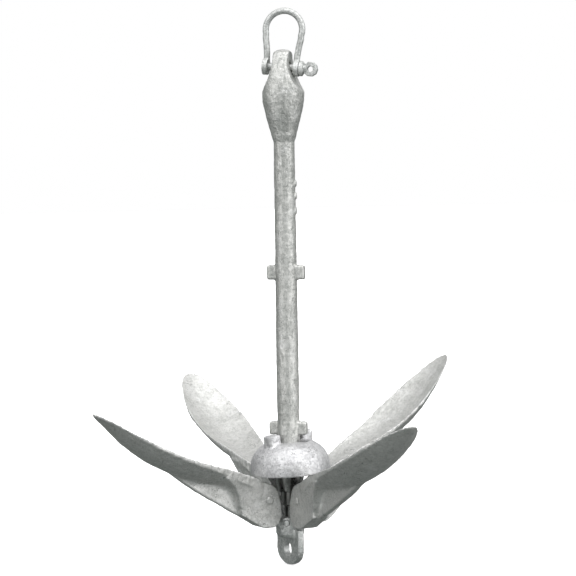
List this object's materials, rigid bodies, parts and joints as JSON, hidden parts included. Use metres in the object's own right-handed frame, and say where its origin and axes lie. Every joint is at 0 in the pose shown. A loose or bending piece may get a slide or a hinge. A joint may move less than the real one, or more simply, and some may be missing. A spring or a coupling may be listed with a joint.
{
  "type": "folding grapnel anchor",
  "caption": "Hot-dip galvanised folding grapnel anchor: round shank with a bow shackle, a sliding dome collar, and spoon flukes hinged on a crown with a tripping eye.",
  "frame": {"origin": "on the shank's axis, at the flat foot of the tripping-eye plate, the anchor's lowest point", "axes": "+Z along the shank towards the shackle; the flukes point along -X, -Y, +X and +Y"},
  "size_m": [0.3167, 0.332, 0.4307],
  "materials": {
    "galvanised_casting": "hot-dip galvanised over a rough sand casting, silver grey with faint spangle",
    "galvanised_steel": "hot-dip galvanised forged bar, slightly lumpy",
    "turned_steel": "bare turned steel, dark and oiled"
  },
  "bodies": {
    "shank_crown": {"shank": "galvanised_casting", "spindle": "turned_steel", "crown": "galvanised_casting", "crown_pin": "galvanised_steel"},
    "collar": {"collar": "galvanised_casting"},
    "fluke_1": {"fluke_1": "galvanised_casting", "hinge_pin_1": "galvanised_steel"},
    "fluke_2": {"fluke_2": "galvanised_casting", "hinge_pin_2": "galvanised_steel"},
    "fluke_3": {"fluke_3": "galvanised_casting", "hinge_pin_3": "galvanised_steel"},
    "fluke_4": {"fluke_4": "galvanised_casting", "hinge_pin_4": "galvanised_steel"},
    "shackle_bow": {"shackle_bow": "galvanised_steel"},
    "shackle_pin": {"shackle_pin": "galvanised_steel"}
  },
  "joints": [
    {"name": "collar_slide", "type": "slide", "parent": "shank_crown", "child": "collar", "axis": [0, 0, 1], "range_m": [0, 0.15]},
    {"name": "fluke_1_fold", "type": "hinge", "parent": "shank_crown", "child": "fluke_1", "pos_m": [-0.022, 0, 0.05223], "axis": [0, 1, 0], "range_deg": [0, 61.2]},
    {"name": "fluke_2_fold", "type": "hinge", "parent": "shank_crown", "child": "fluke_2", "pos_m": [0, -0.022, 0.05223], "axis": [-1, 0, 0], "range_deg": [0, 63.5]},
    {"name": "fluke_3_fold", "type": "hinge", "parent": "shank_crown", "child": "fluke_3", "pos_m": [0.022, 0, 0.05223], "axis": [0, -1, 0], "range_deg": [0, 49.8]},
    {"name": "fluke_4_fold", "type": "hinge", "parent": "shank_crown", "child": "fluke_4", "pos_m": [0, 0.022, 0.05223], "axis": [1, 0, 0], "range_deg": [0, 57.4]},
    {"name": "shackle_swing", "type": "hinge", "parent": "shank_crown", "child": "shackle_bow", "pos_m": [0, 0, 0.38473], "axis": [0.7044, -0.7044, -0.0872], "range_deg": [-110, 110]},
    {"name": "shackle_pin_turn", "type": "hinge", "parent": "shackle_bow", "child": "shackle_pin", "pos_m": [0, 0, 0.38473], "axis": [0.7044, -0.7044, -0.0872], "continuous": true}
  ],
  "couplings": [
    {"joint": "fluke_1_fold", "follows": "collar_slide", "rad_per_m": 7.1204},
    {"joint": "fluke_2_fold", "follows": "collar_slide", "rad_per_m": 7.388},
    {"joint": "fluke_3_fold", "follows": "collar_slide", "rad_per_m": 5.7939},
    {"joint": "fluke_4_fold", "follows": "collar_slide", "rad_per_m": 6.6782}
  ]
}
